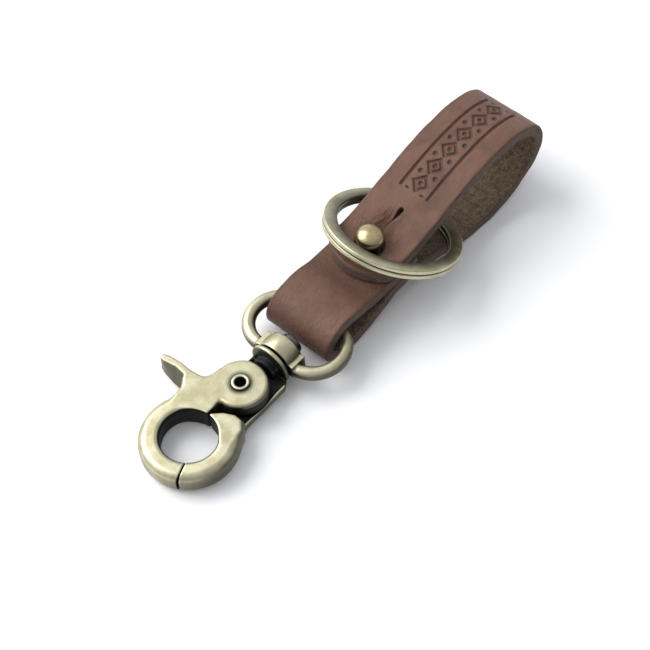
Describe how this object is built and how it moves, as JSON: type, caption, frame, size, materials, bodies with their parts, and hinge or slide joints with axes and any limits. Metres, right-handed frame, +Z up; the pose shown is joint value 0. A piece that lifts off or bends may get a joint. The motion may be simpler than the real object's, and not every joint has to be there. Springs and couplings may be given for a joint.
{
  "type": "keychain",
  "caption": "Leather strap key holder with a buttoned loop, a split key ring and a swivel trigger snap hook.",
  "frame": {"origin": "where the axis of the snap hook's opening meets the surface that the keychain rests on", "axes": "+X from the hook to the strap's loop, +Y to the thumb lever's side, +Z up from the resting surface"},
  "size_m": [0.1368, 0.039, 0.0263],
  "materials": {
    "leather": "matt reddish brown grain side, olive-brown cut edges, tan suede inside",
    "antique_brass": "brushed antique brass with dark patina in the recesses",
    "dark_brass": "dark patinated brass",
    "stud_brass": "worn olive antique brass",
    "spring_steel": "plain spring wire"
  },
  "bodies": {
    "strap": {"strap_base": "leather", "ball_stud": "stud_brass", "stud_screw": "stud_brass"},
    "flap": {"strap_flap": "leather"},
    "key_ring": {"split_ring": "antique_brass"},
    "eye": {"swivel_eye": "antique_brass"},
    "hook": {"hook_body": "antique_brass", "swivel_post": "dark_brass", "pivot_rivet": "antique_brass", "trigger_spring": "spring_steel"},
    "trigger": {"trigger": "antique_brass"}
  },
  "joints": [
    {"name": "flap_open", "type": "hinge", "parent": "strap", "child": "flap", "pos_m": [0.1242, 0.001, 0.0142], "axis": [0, 1, 0], "range_deg": [0, 45]},
    {"name": "ring_tilt", "type": "hinge", "parent": "flap", "child": "key_ring", "pos_m": [0.08936, 0.0003, 0.00768], "axis": [0, 1, 0], "range_deg": [0, 60]},
    {"name": "eye_swing", "type": "hinge", "parent": "strap", "child": "eye", "pos_m": [0.0459, 0.001, 0.00685], "axis": [0, 1, 0], "range_deg": [-40, 25]},
    {"name": "hook_swivel", "type": "hinge", "parent": "eye", "child": "hook", "pos_m": [0.03172, 0, 0.00594], "axis": [0.9978, 0, 0.0663], "continuous": true},
    {"name": "trigger_open", "type": "hinge", "parent": "hook", "child": "trigger", "pos_m": [0.01815, 0.0004, 0.00504], "axis": [0.0663, 0, -0.9978], "range_deg": [0, 26], "stiffness_Nm_per_rad": 0.02, "springref_deg": -20.05}
  ]
}
